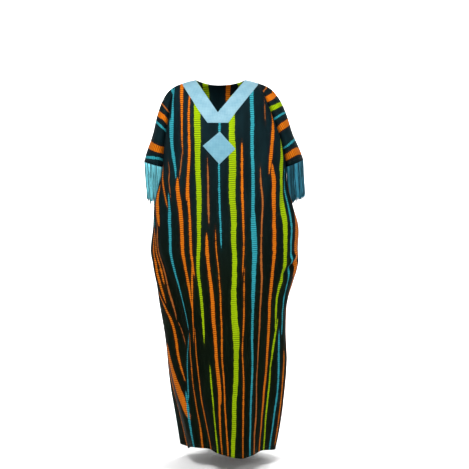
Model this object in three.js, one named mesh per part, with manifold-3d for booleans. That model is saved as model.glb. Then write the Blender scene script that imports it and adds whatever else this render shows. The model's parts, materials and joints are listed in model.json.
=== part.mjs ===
// A floor-length pull-on kaftan in its worn form, hollow, with its arms down.
//
// The cut is a plain one: a front and a back, each one width of cloth whose shoulders run on into
// short wide sleeves, joined along the shoulders, down the outside of each sleeve, and from the
// underarm to the hem. A pale band lies round the V neck, a square patch is set on its point below
// it, and a fringe hangs from each cuff.
//
// Frame: millimetres, +Z up. The front faces -Y and +X is on the right of someone looking at it.
// The origin is at the neck, midway between the ends of the two shoulder seams.

import * as THREE from 'three';
import { mergeVertices } from 'three/addons/utils/BufferGeometryUtils.js';
import Module from 'manifold-3d';

const manifold = await Module();
manifold.setup();

// A table with named columns: one object for each row
const table = (names, ...rows) => {
  const columns = names.split(' ');
  return rows.map((row) => Object.fromEntries(columns.map((name, i) => [name, row[i]])));
};

// ---- Cloth

const CLOTH_WALL = 1.5;
const TRIM_WALL = 1.2;
const FRINGE_WALL = 2;
const SEAM_GAP = 0.3;

// ---- Lengths

const HEM_Z = -1405;
const NECK_POINT_Z = -121; // the bottom of the V
const NECK_POINT_X = -6;
const UNDERARM_Z = -326;
const SHOULDER_Y = 5; // the shoulder seam lies a little behind the neck
const SHOULDER_ROUND = 120; // the shoulder is as round as an arc of this radius
const SLEEVE_START = Math.PI * 0.16; // how far round its own arc the sleeve leaves the crease
const FOLD_GROWTH = 0.7; // folds deepen fast at first: this power of the way down
const SEAM_FLATNESS = 12; // folds die out this sharply at the side seams
const BACK_NECK_DROP = 18;

const BAND_WIDTH = 50;
const BAND_ELBOW = 67; // from the V's point out to the band's edge beside it
const BAND_FOOT = { out: 38, drop: 40 }; // half the band's straight foot, and how far it is below the V
const BAND_SEAM_Z = -19; // the band's outer edge at the shoulder seam
const BAND_BACK_CURVE = 2.4; // how square the band's lower edge is round the back of the neck
const BAND_BACK_STEPS = 16;

const FRINGE_LENGTH = 136;
const FRINGE_DROP = 0.7; // from the cuff's slanting rim to the top of the strands
const FRINGE_CLEAR = 3; // from the body's side to the strands that hang beside it

// ---- The two sides: side is -1 or 1 along X, then the neck end and the tip of the shoulder seam,
// where the sleeve crease starts on it, the underarm, the cuff's outer end, and how far the foot
// of the fringe stands out from the cuff

const SIDES = [
  {
    name: 'left', side: -1, neckX: 89, tipX: 206, creaseX: 172, underarmX: 216, cuffX: 283,
    cuffZ: -306, fringeIn: 12, fringeOut: -10,
  },
  {
    name: 'right', side: 1, neckX: 93, tipX: 215, creaseX: 151, underarmX: 250, cuffX: 314,
    cuffZ: -299, fringeIn: 20, fringeOut: 10,
  },
];
const TIP_Z = -60;

// The shoulder seam's fall, by its share of the way from the neck to the tip
const SHOULDER_FALL = table(
  'share z',
  [0, 0],
  [0.22, -5],
  [0.45, -13],
  [0.63, -21],
  [0.78, -31],
  [0.92, -46],
  [1, TIP_Z],
);

// From the shoulder seam down to the underarm, by share of the way: how far out the sleeve's
// crease and outer edge are (a share of their own way from top to bottom), their depths, and how
// far the sleeve bulges to the front and the back of the line between them
const SLEEVE_LINES = table(
  'share crease edge creaseFront creaseBack edgeY front back',
  [0, 0, 0, 5, 5, 5, 0, 0],
  [0.12, 0.14, 0.18, -12, 20, 7, 30, 28],
  [0.32, 0.38, 0.38, -22, 34, 13, 46, 46],
  [0.6, 0.72, 0.6, -20, 42, 27, 54, 60],
  [0.85, 0.93, 0.87, -4, 34, 39, 64, 76],
  [1, 1, 1, 15, 15, 45, 72, 88],
);

// Level sections of the body: height, the X of its two side seams and their depth, the depths of
// its front and back, and how square it is (2 is an ellipse)
const SECTIONS = table(
  'z left right seam front back square',
  [0, -216, 250, 15, -72, 84, 2.6],
  [-60, -216, 250, 15, -88, 98, 2.6],
  [-121, -216, 250, 15, -106, 108, 2.6],
  [-200, -216, 250, 15, -128, 116, 2.6],
  [-260, -216, 250, 15, -140, 116, 2.6],
  [-326, -216, 250, 15, -144, 114, 2.6],
  [-400, -233, 258, 14, -145, 116, 2.5],
  [-465, -249, 273, 12, -148, 124, 2.4],
  [-550, -254, 298, 8, -154, 140, 2.3],
  [-640, -264, 296, 4, -160, 150, 2.2],
  [-690, -254, 298, 2, -163, 153, 2.2],
  [-760, -241, 278, 0, -167, 156, 2.2],
  [-830, -233, 258, 0, -171, 158, 2.2],
  [-950, -214, 252, 0, -178, 162, 2.1],
  [-1060, -200, 256, 0, -185, 168, 2.1],
  [-1170, -180, 249, 0, -191, 174, 1.95],
  [-1290, -152, 234, 0, -197, 180, 1.85],
  [HEM_Z, -126, 212, 0, -200, 185, 1.75],
);

// Folds that run down the skirt: place on the panel (-1 and 1 are the side seams), how far it
// wanders on its way to the hem, where it starts, depth at the hem (a trough is negative), width
const FRONT_FOLDS = table(
  'at lean from depth width',
  [-0.86, 0.26, -600, 11, 0.13],
  [-0.6, 0.2, -680, -22, 0.15],
  [-0.3, 0.1, -800, 9, 0.11],
  [-0.02, 0.02, -760, -8, 0.1],
  [0.24, -0.02, -700, 10, 0.11],
  [0.5, 0, -640, -12, 0.12],
  [0.76, 0.03, -620, 9, 0.12],
);
const BACK_FOLDS = table(
  'at lean from depth width',
  [-0.84, 0, -980, 44, 0.14],
  [-0.58, 0.04, -760, -20, 0.13],
  [-0.3, -0.03, -620, 17, 0.12],
  [-0.03, 0.02, -700, -16, 0.12],
  [0.24, 0.04, -640, 15, 0.11],
  [0.52, -0.02, -720, -19, 0.13],
  [0.78, 0, -680, 12, 0.12],
);

// The patch: a square set on its point, by its centre and the way to each corner in turn
const PATCH_CENTRE = { x: -1, z: -252 };
const PATCH_CORNERS = [
  { x: 2, z: 59 },
  { x: 59, z: -4 },
  { x: 1, z: -60 },
  { x: -60, z: 7 },
];

// ---- How finely the cloth is faceted

const NECK_ROWS = 6; // from the shoulder seam to the bottom of the V
const CHEST_ROWS = 5; // on to the underarm
const SKIRT_ROWS = 20;
const BODY_COLUMNS = 12; // from the middle of a panel to its side seam
const SLEEVE_COLUMNS = 5;
const FRINGE_ROWS = 4;
const UNDERARM_ROW = NECK_ROWS + CHEST_ROWS;
const LAST_ROW = UNDERARM_ROW + SKIRT_ROWS;

const PRISM_REACH = 400; // past the cloth to the front and the back
const CLEAR_TOP = 20; // an outline's top, above every shoulder

// ---- Reading the tables

const mix = (a, b, t) => a + (b - a) * t;
const clamp = (value, low, high) => Math.min(high, Math.max(low, value));

// The value of a column at a place between two rows, along a smooth curve through all of them
function read(rows, key, place, column) {
  const last = rows.length - 1;
  const rising = rows[last][key] > rows[0][key];
  const past = (row) => (rising ? row[key] > place : row[key] < place);
  const found = rows.findIndex(past);
  if (found === 0) return rows[0][column];
  if (found < 0) return rows[last][column];
  const slope = (a, b) => (rows[b][column] - rows[a][column]) / (rows[b][key] - rows[a][key]);
  const tangent = (i) => slope(Math.max(i - 1, 0), Math.min(i + 1, last));
  const [i, j] = [found - 1, found];
  const span = rows[j][key] - rows[i][key];
  const t = (place - rows[i][key]) / span;
  const rise = rows[j][column] - rows[i][column];
  const start = tangent(i) * span;
  const end = tangent(j) * span;
  return rows[i][column] + start * t + (3 * rise - 2 * start - end) * t * t
    + (start + end - 2 * rise) * t * t * t;
}

const section = (z, column) => read(SECTIONS, 'z', z, column);
const sleeveLine = (share, column) => read(SLEEVE_LINES, 'share', share, column);

// ---- The form

// The shoulder seam's height over a place on one side
function shoulderHeight(hand, x) {
  const share = (Math.abs(x) - hand.neckX) / (hand.tipX - hand.neckX);
  return read(SHOULDER_FALL, 'share', clamp(share, 0, 1), 'z');
}

// How round the shoulder still is this far below its seam: 0 on it and 1 where it is full
function shoulderFullness(drop) {
  const left = 1 - clamp(drop / SHOULDER_ROUND, 0, 1);
  return Math.sqrt(1 - left * left);
}

// One side of a level section's curve: 1 in the middle, falling to 0 at its side
function roundness(across, square) {
  return Math.pow(Math.max(0, 1 - Math.pow(clamp(across, 0, 1), square)), 1 / square);
}

// The crease between the body and the sleeve, and the sleeve's outer edge, at a share of the way
function creasePoint(hand, share, panel) {
  const x = mix(hand.creaseX, hand.underarmX, sleeveLine(share, 'crease'));
  const z = mix(shoulderHeight(hand, hand.creaseX), UNDERARM_Z, share);
  return new THREE.Vector3(hand.side * x, sleeveLine(share, panel.creaseColumn), z);
}

function edgePoint(hand, share) {
  const x = mix(hand.tipX, hand.cuffX, sleeveLine(share, 'edge'));
  return new THREE.Vector3(hand.side * x, sleeveLine(share, 'edgeY'), mix(TIP_Z, hand.cuffZ, share));
}

// A point round the sleeve, from the crease (0) to its outer edge (1)
function sleevePoint(hand, share, panel, round) {
  const crease = creasePoint(hand, share, panel);
  const edge = edgePoint(hand, share);
  const angle = mix(SLEEVE_START, Math.PI, round);
  const start = Math.cos(SLEEVE_START);
  const across = (start - Math.cos(angle)) / (start + 1);
  const point = crease.clone().lerp(edge, across);
  const swell = Math.sin(angle) - Math.sin(SLEEVE_START) * (1 - round);
  point.y += panel.facing * swell * sleeveLine(share, panel.bulgeColumn);
  if (share === 0) point.z = shoulderHeight(hand, point.x);
  return point;
}

// How far the folds push the cloth out here
function foldDepth(folds, place, z) {
  let depth = 0;
  for (const fold of folds) {
    const down = clamp((fold.from - z) / (fold.from - HEM_Z), 0, 1);
    const away = (place - fold.at - fold.lean * down) / fold.width;
    depth += fold.depth * Math.pow(down, FOLD_GROWTH) * Math.exp(-away * away);
  }
  return depth * (1 - Math.pow(Math.abs(place), SEAM_FLATNESS));
}

// The middle of the body's section, where the two halves of a panel meet
function middleX(z) {
  const atUnderarm = (section(UNDERARM_Z, 'left') + section(UNDERARM_Z, 'right')) / 2;
  if (z > NECK_POINT_Z) return NECK_POINT_X;
  if (z > UNDERARM_Z) {
    return mix(NECK_POINT_X, atUnderarm, (NECK_POINT_Z - z) / (NECK_POINT_Z - UNDERARM_Z));
  }
  return (section(z, 'left') + section(z, 'right')) / 2;
}

// The depth of the chest or the upper back at a place above the underarm
function chestDepth(hand, panel, x, z, share) {
  const crease = creasePoint(hand, share, panel);
  const middle = middleX(z);
  const across = Math.abs(x - middle) / Math.abs(crease.x - middle);
  const full = shoulderFullness(shoulderHeight(hand, x) - z);
  return mix(crease.y, section(z, panel.depthColumn), full * roundness(across, section(z, 'square')));
}

// A point of the skirt, by its angle round the section from the middle (0) to the side seam (1)
function skirtPoint(hand, panel, z, turn) {
  const power = 2 / section(z, 'square');
  const angle = turn * Math.PI / 2;
  const middle = middleX(z);
  const side = section(z, hand.name);
  const seam = section(z, 'seam');
  const x = mix(middle, side, Math.pow(Math.sin(angle), power));
  const y = mix(seam, section(z, panel.depthColumn), Math.pow(Math.max(0, Math.cos(angle)), power));
  const point = new THREE.Vector3(x, y, z);
  if (turn === 1) return point;
  const away = new THREE.Vector3(x - middle, y - seam, 0).normalize();
  return point.addScaledVector(away, foldDepth(panel.folds, hand.side * turn, z));
}

// Rows run across the cloth. Above the underarm a row is a share of the way down from the seam.
function rowShare(row) {
  const neckShare = NECK_POINT_Z / UNDERARM_Z;
  if (row <= NECK_ROWS) return neckShare * Math.pow(row / NECK_ROWS, 1.5);
  return mix(neckShare, 1, (row - NECK_ROWS) / CHEST_ROWS);
}

const rowHeight = (row) => mix(UNDERARM_Z, HEM_Z, (row - UNDERARM_ROW) / SKIRT_ROWS);

// The place where a row above the underarm starts: the neck's edge, or the middle of the panel
function frontStart(hand, share) {
  const z = UNDERARM_Z * share;
  if (z <= NECK_POINT_Z) return { x: middleX(z), z };
  return { x: mix(hand.side * hand.neckX, NECK_POINT_X, z / NECK_POINT_Z), z };
}

function backStart(hand, share) {
  const z = mix(-BACK_NECK_DROP, UNDERARM_Z, share);
  return { x: middleX(z), z };
}

// A point of the body above the underarm, by how far along its row it is
function chestPoint(hand, panel, share, along) {
  const crease = creasePoint(hand, share, panel);
  const start = panel.start(hand, share);
  const middle = middleX(start.z);
  const square = section(start.z, 'square');
  const first = Math.abs(start.x - middle) / Math.abs(crease.x - middle);
  const angle = mix(Math.asin(Math.pow(first, square / 2)), Math.PI / 2, along);
  const across = Math.pow(Math.sin(angle), 2 / square);
  const x = mix(middle, crease.x, across);
  const z = mix(start.z, crease.z, Math.abs(x - start.x) / Math.abs(crease.x - start.x));
  if (share > 0) return new THREE.Vector3(x, chestDepth(hand, panel, x, z, share), z);
  return panel.topPoint(hand, x);
}

// The top edge of a panel: the shoulder seam, and on the back the neck between the seams
const shoulderPoint = (hand, x) => new THREE.Vector3(x, SHOULDER_Y, shoulderHeight(hand, x));

function backTopPoint(hand, x) {
  const share = Math.abs(x) / hand.neckX;
  if (share >= 1) return shoulderPoint(hand, x);
  const z = -BACK_NECK_DROP * (1 - share * share);
  return new THREE.Vector3(x, mix(SHOULDER_Y, section(z, 'back'), shoulderFullness(-z)), z);
}

const FRONT = {
  facing: -1, creaseColumn: 'creaseFront', bulgeColumn: 'front', depthColumn: 'front',
  folds: FRONT_FOLDS, start: frontStart, topPoint: shoulderPoint,
};
const BACK = {
  facing: 1, creaseColumn: 'creaseBack', bulgeColumn: 'back', depthColumn: 'back',
  folds: BACK_FOLDS, start: backStart, topPoint: backTopPoint,
};

// ---- Sheets: points with the way out of the cloth at each, and triangles between them

function panelPoint(hand, panel, row, column) {
  if (row > UNDERARM_ROW) return skirtPoint(hand, panel, rowHeight(row), column / BODY_COLUMNS);
  const share = rowShare(row);
  if (column > BODY_COLUMNS) {
    return sleevePoint(hand, share, panel, (column - BODY_COLUMNS) / SLEEVE_COLUMNS);
  }
  return chestPoint(hand, panel, share, column / BODY_COLUMNS);
}

// Which way the wall may go at a place of the grid: along a seam it keeps its depth, and at the hem
// and the cuffs its height. The underarm, where two seams and a cuff meet, is thick upwards.
function wallRule(row, column) {
  const onSide = row > UNDERARM_ROW && column === BODY_COLUMNS;
  const onSleeve = row <= UNDERARM_ROW && column === BODY_COLUMNS + SLEEVE_COLUMNS;
  return {
    underarm: row === UNDERARM_ROW && column === BODY_COLUMNS,
    keepsDepth: row === 0 || onSide || onSleeve,
    keepsHeight: row === LAST_ROW || (row === UNDERARM_ROW && column > BODY_COLUMNS),
  };
}

function panelSheet(panel) {
  const points = [];
  const rules = [];
  const places = [];
  const triangles = [];
  const known = new Map();
  const shift = panel.facing * SEAM_GAP / 2;
  function vertex(hand, row, column) {
    const point = panelPoint(hand, panel, row, column);
    point.y += shift;
    const id = point.toArray().map((value) => value.toFixed(3)).join();
    if (!known.has(id)) {
      known.set(id, points.length);
      points.push(point);
      rules.push(wallRule(row, column));
      places.push({ row, column });
    }
    return known.get(id);
  }
  for (const hand of SIDES) {
    for (let row = 0; row < LAST_ROW; row += 1) {
      const columns = BODY_COLUMNS + (row < UNDERARM_ROW ? SLEEVE_COLUMNS : 0);
      for (let column = 0; column < columns; column += 1) {
        const a = vertex(hand, row, column);
        const b = vertex(hand, row, column + 1);
        const c = vertex(hand, row + 1, column + 1);
        const d = vertex(hand, row + 1, column);
        const outward = hand.side === -panel.facing;
        triangles.push(outward ? [a, d, c] : [a, c, d]);
        triangles.push(outward ? [a, c, b] : [a, b, c]);
      }
    }
  }
  return { points, places, triangles, outward: outwardDirections(points, triangles, rules) };
}

// The way out of the cloth at each point, with its length made good where facets meet at an angle
function outwardDirections(points, triangles, rules) {
  const sums = points.map(() => new THREE.Vector3());
  const faces = points.map(() => []);
  for (const triangle of triangles) {
    const [a, b, c] = triangle.map((i) => points[i]);
    const normal = b.clone().sub(a).cross(c.clone().sub(a));
    for (const i of triangle) {
      sums[i].add(normal);
      faces[i].push(normal.clone().normalize());
    }
  }
  return sums.map((sum, i) => {
    if (rules[i].underarm) return new THREE.Vector3(0, 0, -1);
    if (rules[i].keepsDepth) sum.y = 0;
    if (rules[i].keepsHeight) sum.z = 0;
    const way = sum.normalize();
    const facing = faces[i].map((normal) => normal.dot(way)).reduce((a, b) => Math.min(a, b), 1);
    return way.multiplyScalar(1 / clamp(facing, 0.75, 1));
  });
}

// A closed wall on a sheet, from one distance out of it to another
function wall({ points, triangles, outward }, inner, outer) {
  const at = (i, distance) => points[i].clone().addScaledVector(outward[i], distance);
  const edges = new Map();
  const corners = [];
  for (const [a, b, c] of triangles) {
    corners.push(at(a, outer), at(b, outer), at(c, outer));
    corners.push(at(a, inner), at(c, inner), at(b, inner));
    for (const [from, to] of [[a, b], [b, c], [c, a]]) {
      if (!edges.delete(`${to} ${from}`)) edges.set(`${from} ${to}`, [from, to]);
    }
  }
  for (const [from, to] of edges.values()) {
    corners.push(at(to, outer), at(from, outer), at(from, inner));
    corners.push(at(to, outer), at(from, inner), at(to, inner));
  }
  return mergeVertices(new THREE.BufferGeometry().setFromPoints(corners), 1e-4);
}

// ---- Cuts

function toManifold(geometry) {
  const merged = mergeVertices(geometry.clone(), 1e-4);
  const vertProperties = new Float32Array(merged.attributes.position.array);
  const triVerts = new Uint32Array(merged.index.array);
  return new manifold.Manifold(new manifold.Mesh({ numProp: 3, vertProperties, triVerts }));
}

function toGeometry(solid) {
  const mesh = solid.getMesh();
  const geometry = new THREE.BufferGeometry();
  geometry.setAttribute('position', new THREE.BufferAttribute(new Float32Array(mesh.vertProperties), 3));
  geometry.setIndex(new THREE.BufferAttribute(new Uint32Array(mesh.triVerts), 1));
  return geometry;
}

// A prism that runs from the front to the back, with this outline in X and Z
function prism(outline) {
  const shape = new THREE.Shape(outline.map(({ x, z }) => new THREE.Vector2(x, z)));
  const geometry = new THREE.ExtrudeGeometry(shape, { depth: 2 * PRISM_REACH, bevelEnabled: false });
  geometry.deleteAttribute('normal');
  geometry.deleteAttribute('uv');
  return toManifold(geometry.rotateX(Math.PI / 2).translate(0, PRISM_REACH, 0));
}

// A flat piece sewn onto a panel: the wall over its outline, SEAM_GAP off the cloth
function applied(sheet, outline) {
  const near = ({ row, column }) => row <= UNDERARM_ROW && column < BODY_COLUMNS;
  const triangles = sheet.triangles.filter((corners) => corners.every((i) => near(sheet.places[i])));
  const over = toManifold(wall({ ...sheet, triangles }, SEAM_GAP, SEAM_GAP + TRIM_WALL));
  return toGeometry(over.intersect(prism(outline)));
}

// ---- Pieces

// The band's outer edge on the front: down from one shoulder, square across under the V, and up
function frontBandOutline() {
  const outer = (hand) => [
    { x: hand.side * (hand.neckX + BAND_WIDTH), z: CLEAR_TOP },
    { x: hand.side * (hand.neckX + BAND_WIDTH), z: BAND_SEAM_Z },
    { x: NECK_POINT_X + hand.side * BAND_ELBOW, z: NECK_POINT_Z },
    { x: NECK_POINT_X + hand.side * BAND_FOOT.out, z: NECK_POINT_Z - BAND_FOOT.drop },
  ];
  const [left, right] = SIDES.map(outer);
  return [...left, ...right.reverse()];
}

function backBandOutline() {
  const reach = SIDES[1].neckX + BAND_WIDTH;
  const arc = [];
  for (let i = 0; i <= BAND_BACK_STEPS; i += 1) {
    const share = mix(-1, 1, i / BAND_BACK_STEPS);
    const rise = BAND_WIDTH * Math.pow(Math.abs(share), BAND_BACK_CURVE);
    arc.push({ x: reach * share, z: rise - BACK_NECK_DROP - BAND_WIDTH });
  }
  return [...arc, { x: reach, z: CLEAR_TOP }, { x: -reach, z: CLEAR_TOP }];
}

function patchOutline() {
  const corner = ({ x, z }) => ({ x: PATCH_CENTRE.x + x, z: PATCH_CENTRE.z + z });
  return PATCH_CORNERS.map(corner).reverse();
}

// The X of the body's side at a depth and height, or 0 where the body isn't beside it
function bodySideX(hand, y, z) {
  const seam = section(z, 'seam');
  const depth = section(z, y < seam ? 'front' : 'back');
  const share = (y - seam) / (depth - seam);
  if (share >= 1) return 0;
  return mix(middleX(z), section(z, hand.name), roundness(share, section(z, 'square')));
}

// A point of the fringe, by its place round the cuff (0 to 1 on the front, 1 to 2 on the back)
function fringePoint(hand, around, down) {
  const onFront = around <= 1;
  const round = onFront ? around : 2 - around;
  const point = sleevePoint(hand, 1, onFront ? FRONT : BACK, round);
  const across = (Math.abs(point.x) - hand.underarmX) / (hand.cuffX - hand.underarmX);
  const spread = mix(hand.fringeIn, hand.fringeOut, across);
  point.x += hand.side * spread * down;
  point.z -= FRINGE_DROP + FRINGE_LENGTH * down;
  const body = Math.abs(bodySideX(hand, point.y, point.z)) + FRINGE_CLEAR;
  point.x = hand.side * Math.max(Math.abs(point.x), body);
  return point;
}

function fringe(hand) {
  const around = 2 * SLEEVE_COLUMNS;
  const points = [];
  const rules = [];
  const triangles = [];
  for (let row = 0; row <= FRINGE_ROWS; row += 1) {
    for (let step = 0; step < around; step += 1) {
      points.push(fringePoint(hand, step / SLEEVE_COLUMNS, row / FRINGE_ROWS));
      rules.push({ keepsHeight: true });
    }
  }
  for (let row = 0; row < FRINGE_ROWS; row += 1) {
    for (let step = 0; step < around; step += 1) {
      const a = row * around + step;
      const b = row * around + (step + 1) % around;
      const c = b + around;
      const d = a + around;
      triangles.push(hand.side > 0 ? [a, d, c] : [a, c, d]);
      triangles.push(hand.side > 0 ? [a, c, b] : [a, b, c]);
    }
  }
  const outward = outwardDirections(points, triangles, rules);
  return wall({ points, triangles, outward }, -FRINGE_WALL, 0);
}

// ---- The kaftan

const MATERIALS = {
  print: new THREE.MeshStandardMaterial({ color: 0x16201f, roughness: 0.85, metalness: 0 }),
  trim: new THREE.MeshStandardMaterial({ color: 0xa8d6e2, roughness: 0.7, metalness: 0 }),
  strands: new THREE.MeshStandardMaterial({ color: 0x2f7f96, roughness: 0.75, metalness: 0 }),
};

function piece(name, geometry, material) {
  const mesh = new THREE.Mesh(geometry, material.clone());
  mesh.name = name;
  return mesh;
}

const frontSheet = panelSheet(FRONT);
const backSheet = panelSheet(BACK);

const kaftan = new THREE.Group();
kaftan.name = 'kaftan';
kaftan.add(piece('front_panel', wall(frontSheet, -CLOTH_WALL, 0), MATERIALS.print));
kaftan.add(piece('back_panel', wall(backSheet, -CLOTH_WALL, 0), MATERIALS.print));
kaftan.add(piece('neck_band_front', applied(frontSheet, frontBandOutline()), MATERIALS.trim));
kaftan.add(piece('neck_band_back', applied(backSheet, backBandOutline()), MATERIALS.trim));
kaftan.add(piece('patch', applied(frontSheet, patchOutline()), MATERIALS.trim));
for (const hand of SIDES) kaftan.add(piece(`fringe_${hand.name}`, fringe(hand), MATERIALS.strands));

export default kaftan;
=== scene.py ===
"""A floor-length kaftan in its worn form: striped cloth, neck band, patch and cuff fringes.

Metres, +Z up. The front faces -Y and the origin is at the neck. The cloth's own sizes are in
millimetres in the tables below and are turned into metres as its meshes are made.
"""

import json
import math

import bpy
import numpy as np
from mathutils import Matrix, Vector, noise
from mathutils.bvhtree import BVHTree

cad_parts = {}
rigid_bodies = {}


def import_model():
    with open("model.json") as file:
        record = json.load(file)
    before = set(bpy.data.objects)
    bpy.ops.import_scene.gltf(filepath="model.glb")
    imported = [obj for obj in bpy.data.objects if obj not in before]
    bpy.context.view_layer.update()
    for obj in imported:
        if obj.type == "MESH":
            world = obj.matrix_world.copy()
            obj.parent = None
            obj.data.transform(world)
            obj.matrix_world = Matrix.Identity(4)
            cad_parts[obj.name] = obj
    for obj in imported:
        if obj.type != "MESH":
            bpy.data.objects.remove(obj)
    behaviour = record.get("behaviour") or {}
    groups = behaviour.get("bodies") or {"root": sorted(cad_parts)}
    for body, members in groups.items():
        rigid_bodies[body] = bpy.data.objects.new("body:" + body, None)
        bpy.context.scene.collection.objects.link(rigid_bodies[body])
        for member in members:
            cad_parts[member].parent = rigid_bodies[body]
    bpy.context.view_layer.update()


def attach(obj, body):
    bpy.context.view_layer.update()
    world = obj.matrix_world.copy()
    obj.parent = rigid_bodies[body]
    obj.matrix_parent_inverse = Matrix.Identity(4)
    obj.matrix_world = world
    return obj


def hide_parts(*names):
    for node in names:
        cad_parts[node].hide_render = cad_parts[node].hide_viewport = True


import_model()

bl_info = {
    "name": "Striped kaftan",
    "version": (1, 0, 0),
    "blender": (4, 5, 0),
    "location": "View3D > Sidebar > Kaftan",
    "description": "Makes a worn kaftan: striped cloth, neck band, patch and fringed cuffs",
    "category": "Object",
}

MM = 0.001
FACING = {"front": -1, "back": 1}

# ---- The worn form, in millimetres


def columns(names, *rows):
    """A table as one array for each named column."""
    return {name: np.array(values, float) for name, values in zip(names.split(), zip(*rows))}


HEM_Z = -1405.0
NECK_POINT_Z = -121.0
NECK_POINT_X = -6.0
UNDERARM_Z = -326.0
HIP_Z = -640.0
TIP_Z = -60.0                       # the shoulder seam's tip
SHOULDER_Y = 5.0
SHOULDER_ROUND = 120.0              # below its seam the shoulder is at its full depth
BACK_NECK_DROP = 18.0
SLEEVE_START = math.pi * 0.16       # the angle round the sleeve where its crease lies

# side, the shoulder seam's neck end and tip, the sleeve crease's top, the underarm, the cuff's end,
# the same point along the cut's width, how far the foot of the fringe stands out from the cuff, and
# how far the cloth's slack carries the cuff's end outward
HANDS = {
    "left": dict(side=-1, neck=89, tip=206, crease=172, underarm=216, cuff=283, cuff_z=-306,
                 top_u=187, cuff_u=480, fringe_in=12, fringe_out=-16, slack=7),
    "right": dict(side=1, neck=93, tip=215, crease=151, underarm=250, cuff=314, cuff_z=-299,
                  top_u=152, cuff_u=482, fringe_in=9, fringe_out=6, slack=4),
}

SHOULDER_FALL = columns(
    "share z",
    (0, 0), (0.22, -5), (0.45, -13), (0.63, -21), (0.78, -31), (0.92, -46), (1, TIP_Z))

SLEEVE_LINES = columns(
    "share crease edge crease_front crease_back edge_y front back",
    (0, 0, 0, 5, 5, 5, 0, 0),
    (0.12, 0.14, 0.18, -12, 20, 7, 30, 28),
    (0.32, 0.38, 0.38, -22, 34, 13, 46, 46),
    (0.6, 0.72, 0.6, -20, 42, 27, 54, 60),
    (0.85, 0.93, 0.87, -4, 34, 39, 64, 76),
    (1, 1, 1, 15, 15, 45, 72, 88))

SECTIONS = columns(
    "z left right seam front back square",
    (0, -216, 250, 15, -72, 84, 2.6),
    (-60, -216, 250, 15, -88, 98, 2.6),
    (-121, -216, 250, 15, -106, 108, 2.6),
    (-200, -216, 250, 15, -128, 116, 2.6),
    (-260, -216, 250, 15, -140, 116, 2.6),
    (-326, -216, 250, 15, -144, 114, 2.6),
    (-400, -233, 258, 14, -145, 116, 2.5),
    (-465, -249, 273, 12, -148, 124, 2.4),
    (-550, -254, 298, 8, -154, 140, 2.3),
    (-640, -264, 296, 4, -160, 150, 2.2),
    (-690, -254, 298, 2, -163, 153, 2.2),
    (-760, -241, 278, 0, -167, 156, 2.2),
    (-830, -233, 258, 0, -171, 158, 2.2),
    (-950, -214, 252, 0, -178, 162, 2.1),
    (-1060, -200, 256, 0, -185, 168, 2.1),
    (-1170, -180, 249, 0, -191, 174, 1.95),
    (-1290, -152, 234, 0, -197, 180, 1.85),
    (HEM_Z, -126, 212, 0, -200, 185, 1.75))

# Folds down the skirt: place across (-1 and 1 are the side seams), how far it wanders by the hem,
# where it starts, its depth at the hem (a trough is negative), and its width
FRONT_FOLDS = columns(
    "at lean top depth width",
    (-0.86, 0.26, -600, 11, 0.13),
    (-0.6, 0.2, -680, -22, 0.15),
    (-0.3, 0.1, -800, 9, 0.11),
    (-0.02, 0.02, -760, -8, 0.1),
    (0.24, -0.02, -700, 10, 0.11),
    (0.5, 0, -640, -12, 0.12),
    (0.76, 0.03, -620, 9, 0.12))
BACK_FOLDS = columns(
    "at lean top depth width",
    (-0.84, 0, -980, 44, 0.14),
    (-0.58, 0.04, -760, -20, 0.13),
    (-0.3, -0.03, -620, 17, 0.12),
    (-0.03, 0.02, -700, -16, 0.12),
    (0.24, 0.04, -640, 15, 0.11),
    (0.52, -0.02, -720, -19, 0.13),
    (0.78, 0, -680, 12, 0.12))

# How far the front's hem rides up at places in X, and the height above which it doesn't
HEM_LIFT = columns(
    "x lift",
    (-124, 0), (-110, 18), (-92, 27), (-66, 30), (-30, 29), (6, 26), (42, 14), (72, 10), (105, 13),
    (140, 15), (168, 17), (194, 9), (214, 0))
LIFT_TOP = -1080.0

# Creases that cross the form, seen from the front or the back: from one place to another in X and
# Z, how far the middle bows to the right of the way down, width and depth (a trough is negative)
FRONT_CREASES = columns(
    "x0 z0 x1 z1 bow width depth",
    (-262, -600, -120, -1010, 14, 22, -7),
    (-268, -655, -160, -980, 10, 16, 5),
    (-250, -560, -196, -860, 6, 14, -4),
    (-228, -345, -176, -520, -10, 14, -5),
    (-205, -350, -118, -470, 8, 18, 4),
    (-214, -330, -226, -560, -6, 10, 3.5),
    (252, -345, 196, -560, 12, 15, -5.5),
    (230, -340, 150, -455, -8, 18, 4),
    (262, -380, 262, -600, 8, 11, 4),
    (302, -668, 232, -742, -6, 9, -8),
    (300, -640, 246, -700, -5, 8, 5),
    (296, -704, 240, -860, 10, 10, 4.5),
    (286, -748, 252, -880, 4, 7, -4),
    (200, -640, 214, -900, 10, 15, -4),
    (116, -170, 128, -420, -8, 20, -3.5),
    (-104, -180, -122, -430, 8, 20, -3.5),
    (84, -300, 70, -610, 5, 24, 3.5),
    (-74, -320, -66, -640, -6, 22, 3),
    (8, -330, 16, -600, 4, 18, -2.5),
    (160, -90, 178, -240, 6, 12, -3),
    (-150, -70, -168, -240, -6, 12, -3),
    (-40, -700, -18, -1130, 6, 20, -4),
    (30, -880, 42, -1300, -5, 15, 3.5),
    (150, -930, 118, -1390, 5, 13, -4.5),
    (-110, -1050, -62, -1395, 5, 12, 4.5))
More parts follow.
